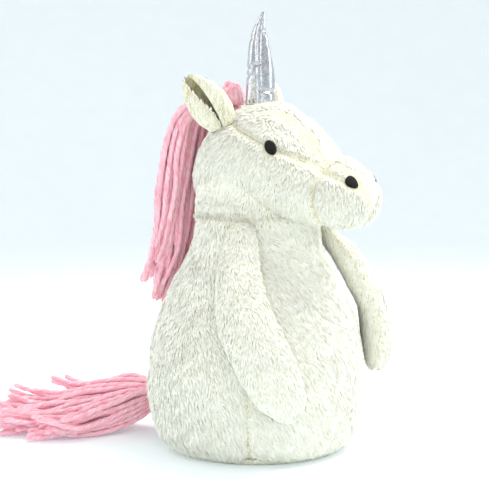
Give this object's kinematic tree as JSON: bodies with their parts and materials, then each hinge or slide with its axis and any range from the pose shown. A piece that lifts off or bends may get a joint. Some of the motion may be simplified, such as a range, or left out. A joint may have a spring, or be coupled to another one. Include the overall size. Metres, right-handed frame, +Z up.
{
  "type": "plush unicorn",
  "caption": "Sitting stuffed unicorn with a pear-shaped body, jointed head, arms, ears and tail, a soft silver horn and a yarn mane.",
  "frame": {"origin": "middle of the flat base panel, on the surface it sits on", "axes": "+Z up, the unicorn looks along -Y, its own left is +X"},
  "size_m": [0.1681, 0.3016, 0.3003],
  "materials": {
    "plush": "short cream pile with a brushed nap",
    "ear_lining": "smooth short-pile lining",
    "stuffing": "loose polyester fibre",
    "bag_cloth": "plain woven bag",
    "pellets": "small round pellets",
    "thread": "sewing thread",
    "black_thread": "satin-stitched embroidery thread",
    "pink_yarn": "fluffy twisted acrylic yarn",
    "silver_cloth": "metallic lame cloth with soft wrinkles",
    "tape": "woven cotton tape"
  },
  "bodies": {
    "body": {"base_panel": "plush", "body_front_panel": "plush", "body_right_panel": "plush", "body_back_panel": "plush", "body_left_panel": "plush", "pellet_bag": "bag_cloth", "pellets": "pellets", "body_filling": "stuffing", "base_seam_thread": "thread"},
    "neck": {"neck_seam_thread": "thread"},
    "head": {"crown_panel": "plush", "nose_bridge_panel": "plush", "right_cheek_panel": "plush", "left_cheek_panel": "plush", "right_muzzle_panel": "plush", "left_muzzle_panel": "plush", "head_filling": "stuffing", "mane_tape": "tape", "right_eye_stitching": "black_thread", "left_eye_stitching": "black_thread", "right_nostril_stitching": "black_thread", "left_nostril_stitching": "black_thread", "forelock": "pink_yarn"},
    "mane": {"mane_lock_1": "pink_yarn", "mane_lock_2": "pink_yarn", "mane_lock_3": "pink_yarn", "mane_lock_4": "pink_yarn", "mane_lock_5": "pink_yarn"},
    "horn": {"horn_cover": "silver_cloth", "horn_filling": "stuffing", "horn_stitching": "thread"},
    "right_ear": {"right_ear_back_panel": "plush", "right_ear_lining": "ear_lining"},
    "left_ear": {"left_ear_back_panel": "plush", "left_ear_lining": "ear_lining"},
    "right_arm": {"right_arm_outer_panel": "plush", "right_arm_inner_panel": "plush", "right_arm_filling": "stuffing", "right_shoulder_stitching": "thread"},
    "left_arm": {"left_arm_outer_panel": "plush", "left_arm_inner_panel": "plush", "left_arm_filling": "stuffing", "left_shoulder_stitching": "thread"},
    "tail_root": {"tail_binding": "thread", "tail_yarn_root": "pink_yarn"},
    "tail": {"tail_lock_1": "pink_yarn", "tail_lock_2": "pink_yarn", "tail_lock_3": "pink_yarn", "tail_lock_4": "pink_yarn", "tail_lock_5": "pink_yarn"}
  },
  "joints": [
    {"name": "head_turn", "type": "hinge", "parent": "body", "child": "neck", "pos_m": [0, 0, 0.155], "axis": [0, 0, 1], "range_deg": [-12, 12], "stiffness_Nm_per_rad": 0.5},
    {"name": "head_nod", "type": "hinge", "parent": "neck", "child": "head", "pos_m": [0, 0, 0.13], "axis": [1, 0, 0], "range_deg": [-5, 5], "stiffness_Nm_per_rad": 0.8},
    {"name": "mane_lift", "type": "hinge", "parent": "head", "child": "mane", "pos_m": [0, 0.03, 0.236], "axis": [1, 0, 0], "range_deg": [0, 45]},
    {"name": "horn_bend", "type": "hinge", "parent": "head", "child": "horn", "pos_m": [0, -0.004, 0.24], "axis": [1, 0, 0], "range_deg": [-8, 8], "stiffness_Nm_per_rad": 0.05},
    {"name": "right_ear_fold", "type": "hinge", "parent": "head", "child": "right_ear", "pos_m": [-0.034, 0.0035, 0.228], "axis": [0.4229, -0.6011, 0.6782], "range_deg": [-20, 20], "stiffness_Nm_per_rad": 0.03},
    {"name": "left_ear_fold", "type": "hinge", "parent": "head", "child": "left_ear", "pos_m": [0.034, 0.0035, 0.228], "axis": [0.4229, 0.6011, -0.6782], "range_deg": [-20, 20], "stiffness_Nm_per_rad": 0.03},
    {"name": "right_arm_raise", "type": "hinge", "parent": "body", "child": "right_arm", "pos_m": [-0.0409, -0.01778, 0.1577], "axis": [-0.3987, 0.9171, 0], "range_deg": [0, 45]},
    {"name": "left_arm_raise", "type": "hinge", "parent": "body", "child": "left_arm", "pos_m": [0.03489, -0.02826, 0.1558], "axis": [-0.6293, -0.7771, 0], "range_deg": [0, 35]},
    {"name": "tail_lift", "type": "hinge", "parent": "body", "child": "tail_root", "pos_m": [0, 0.0762, 0.0326], "axis": [1, 0, 0], "range_deg": [0, 50]},
    {"name": "tail_swing", "type": "hinge", "parent": "tail_root", "child": "tail", "pos_m": [0, 0.0815, 0.025], "axis": [0, 0, 1], "range_deg": [-30, 10]}
  ]
}
